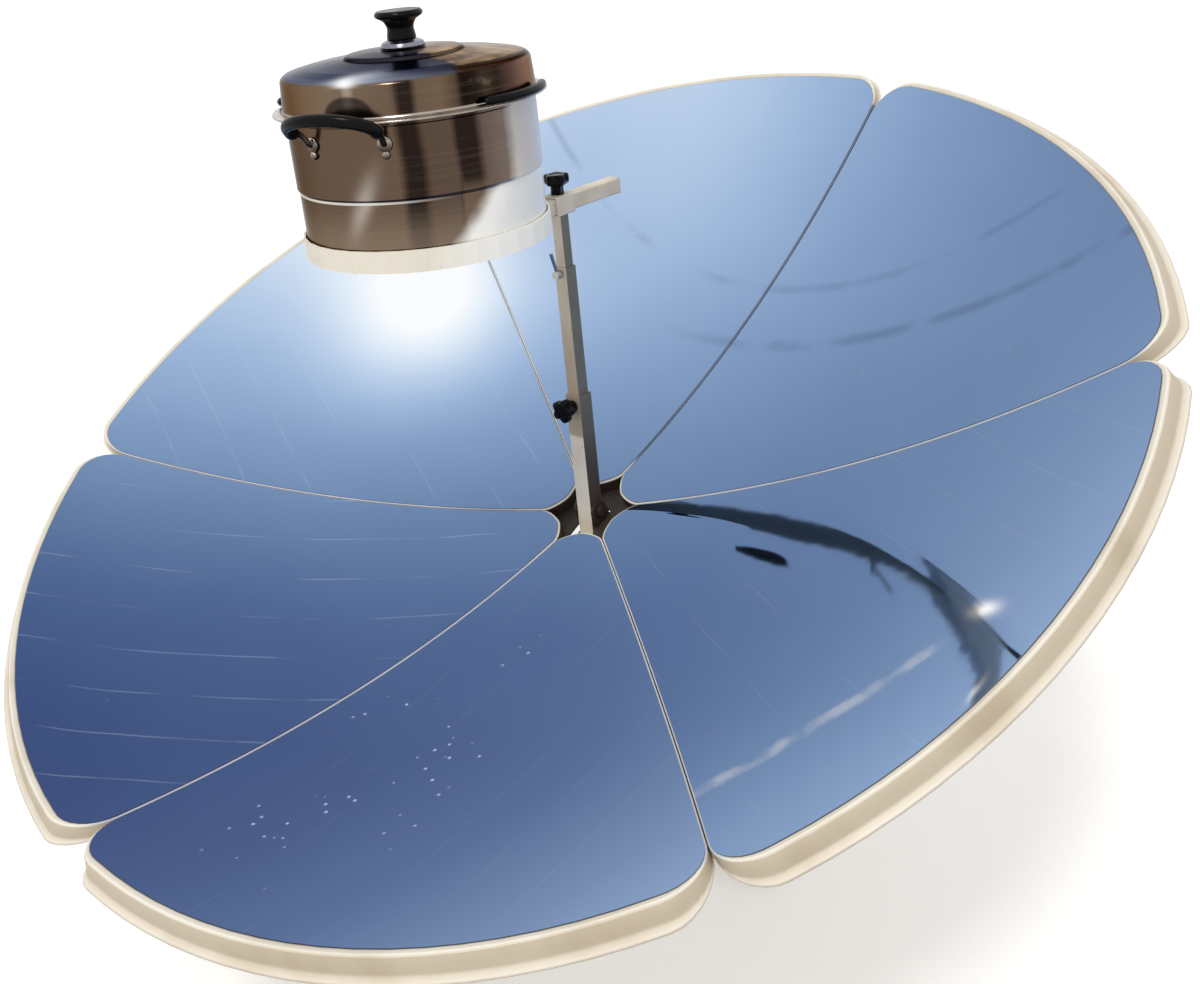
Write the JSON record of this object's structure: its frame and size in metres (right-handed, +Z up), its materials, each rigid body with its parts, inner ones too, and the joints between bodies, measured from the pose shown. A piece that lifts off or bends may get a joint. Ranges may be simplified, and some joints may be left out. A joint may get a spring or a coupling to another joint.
{
  "type": "parabolic solar cooker",
  "caption": "Parabolic dish of mirrored petals on a swivelling stand, with a telescopic post, a sliding arm and a steamer pot held at the focus.",
  "frame": {"origin": "on the floor under the column, at the centre of the base plate's underside", "axes": "+Z up; the pot stands on the -X side of the post and the dish leans towards -X; the tilt bolt lies along Y"},
  "size_m": [1.428, 1.5538, 1.205],
  "materials": {
    "cream_plastic": "moulded cream petal, satin",
    "mirror_film": "aluminised reflector film, slightly blue",
    "cream_paint": "cream powder coat on square tube",
    "dark_paint": "dark brown painted hub steel",
    "zinc": "zinc-plated fasteners",
    "steel": "polished stainless steel",
    "black_plastic": "black phenolic plastic",
    "nylon": "pale nylon bush",
    "rubber": "black rubber foot"
  },
  "bodies": {
    "base": {"base_plate": "cream_paint", "column": "cream_paint", "swivel_bush": "nylon", "leg_1": "cream_paint", "leg_2": "cream_paint", "leg_3": "cream_paint", "leg_4": "cream_paint", "foot_1": "rubber", "foot_2": "rubber", "foot_3": "rubber", "foot_4": "rubber"},
    "swivel_knob": {"swivel_knob": "black_plastic"},
    "mast": {"swivel_head": "zinc", "post_outer": "cream_paint", "hinge_bolt": "dark_paint"},
    "tilt_knob": {"tilt_knob": "black_plastic"},
    "post_knob": {"post_knob": "black_plastic"},
    "dish": {"petal_1": "cream_plastic", "petal_2": "cream_plastic", "petal_3": "cream_plastic", "petal_4": "cream_plastic", "petal_5": "cream_plastic", "petal_6": "cream_plastic", "mirror_1": "mirror_film", "mirror_2": "mirror_film", "mirror_3": "mirror_film", "mirror_4": "mirror_film", "mirror_5": "mirror_film", "mirror_6": "mirror_film", "hub_plate": "dark_paint", "hub_nut_1": "zinc", "hub_nut_2": "zinc", "hub_nut_3": "zinc", "hub_nut_4": "zinc", "hub_nut_5": "zinc", "hub_nut_6": "zinc", "tilt_cheek": "dark_paint", "tilt_quadrant": "dark_paint"},
    "post_middle": {"post_middle": "cream_paint"},
    "tee_bolt": {"tee_bolt": "zinc"},
    "post_inner": {"post_inner": "cream_paint", "arm_sleeve": "cream_paint"},
    "arm_knob": {"arm_knob": "black_plastic"},
    "arm": {"arm_tube": "cream_paint", "arm_cap": "black_plastic", "pot_ring": "cream_paint", "ring_bolt": "zinc"},
    "pot": {"pot": "steel", "handle_1": "black_plastic", "handle_2": "black_plastic", "handle_bracket_1": "steel", "handle_bracket_2": "steel", "handle_bracket_3": "steel", "handle_bracket_4": "steel"},
    "steamer": {"steamer": "steel", "steamer_grip_1": "black_plastic", "steamer_grip_2": "black_plastic"},
    "lid": {"lid": "steel", "lid_knob_base": "steel", "lid_knob": "black_plastic"}
  },
  "joints": [
    {"name": "azimuth_swivel", "type": "hinge", "parent": "base", "child": "mast", "pos_m": [0, 0, 0.3897], "axis": [0, 0, 1], "continuous": true},
    {"name": "swivel_knob_turn", "type": "hinge", "parent": "base", "child": "swivel_knob", "pos_m": [0, -0.0173, 0.3456], "axis": [0, -1, 0], "continuous": true},
    {"name": "dish_tilt", "type": "hinge", "parent": "mast", "child": "dish", "pos_m": [0, 0, 0.52], "axis": [0, -1, 0], "range_deg": [-23.4, 21.6]},
    {"name": "tilt_knob_turn", "type": "hinge", "parent": "mast", "child": "tilt_knob", "pos_m": [0, 0.0105, 0.425], "axis": [0, 1, 0], "continuous": true},
    {"name": "post_knob_turn", "type": "hinge", "parent": "mast", "child": "post_knob", "pos_m": [-0.0103, 0, 0.675], "axis": [-1, 0, 0], "continuous": true},
    {"name": "post_slide_lower", "type": "slide", "parent": "mast", "child": "post_middle", "axis": [0, 0, 1], "range_m": [-0.04, 0.06]},
    {"name": "tee_bolt_turn", "type": "hinge", "parent": "post_middle", "child": "tee_bolt", "pos_m": [-0.0083, 0, 0.855], "axis": [-1, 0, 0], "continuous": true},
    {"name": "post_slide_upper", "type": "slide", "parent": "post_middle", "child": "post_inner", "axis": [0, 0, 1], "range_m": [-0.035, 0.06]},
    {"name": "arm_knob_turn", "type": "hinge", "parent": "post_inner", "child": "arm_knob", "pos_m": [0, 0, 0.9425], "axis": [0, 0, 1], "continuous": true},
    {"name": "arm_slide", "type": "slide", "parent": "post_inner", "child": "arm", "axis": [1, 0, 0], "range_m": [-0.05, 0.03]},
    {"name": "pot_lift", "type": "slide", "parent": "arm", "child": "pot", "axis": [0, 0, 1], "range_m": [0, 0.1]},
    {"name": "steamer_lift", "type": "slide", "parent": "pot", "child": "steamer", "axis": [0, 0, 1], "range_m": [0, 0.08]},
    {"name": "lid_lift", "type": "slide", "parent": "steamer", "child": "lid", "axis": [0, 0, 1], "range_m": [0, 0.1]}
  ]
}
